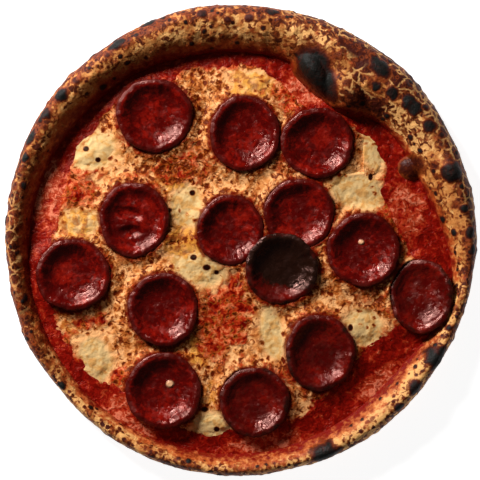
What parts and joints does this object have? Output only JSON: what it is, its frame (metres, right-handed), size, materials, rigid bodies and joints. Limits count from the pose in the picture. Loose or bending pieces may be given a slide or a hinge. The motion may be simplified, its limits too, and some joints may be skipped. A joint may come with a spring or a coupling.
{
  "type": "diavola pizza",
  "caption": "Whole round wood-fired pizza with a puffed, charred crust, tomato sauce, browned cheese, white cheese pools and cupped spicy salami slices.",
  "frame": {"origin": "centre of the pizza on the flat underside of the dough, at the level it rests on", "axes": "+Z up out of the toppings; seen from above with +X to the right and +Y up, the large bubble of the crust is at the upper right"},
  "size_m": [0.2992, 0.2984, 0.0283],
  "materials": {
    "crust": "dry, floury baked dough, golden tan with dark char spots",
    "sauce": "wet, lumpy cooked tomato, deep red to orange",
    "cheese": "oily melted cheese, tan with small dark brown speckles",
    "mozzarella": "soft, moist cream-white cheese with a few burnt dots",
    "salami": "glossy, oily dark maroon meat with small flecks of fat"
  },
  "bodies": {
    "root": {"crust": "crust", "tomato_sauce": "sauce", "melted_cheese": "cheese", "mozzarella_01": "mozzarella", "mozzarella_02": "mozzarella", "mozzarella_03": "mozzarella", "mozzarella_04": "mozzarella", "mozzarella_05": "mozzarella", "mozzarella_06": "mozzarella", "mozzarella_07": "mozzarella", "mozzarella_08": "mozzarella", "mozzarella_09": "mozzarella", "mozzarella_10": "mozzarella", "salami_01": "salami", "salami_02": "salami", "salami_03": "salami", "salami_04": "salami", "salami_05": "salami", "salami_06": "salami", "salami_07": "salami", "salami_08": "salami", "salami_09": "salami", "salami_10": "salami", "salami_11": "salami", "salami_12": "salami", "salami_13": "salami", "salami_14": "salami"}
  },
  "joints": []
}
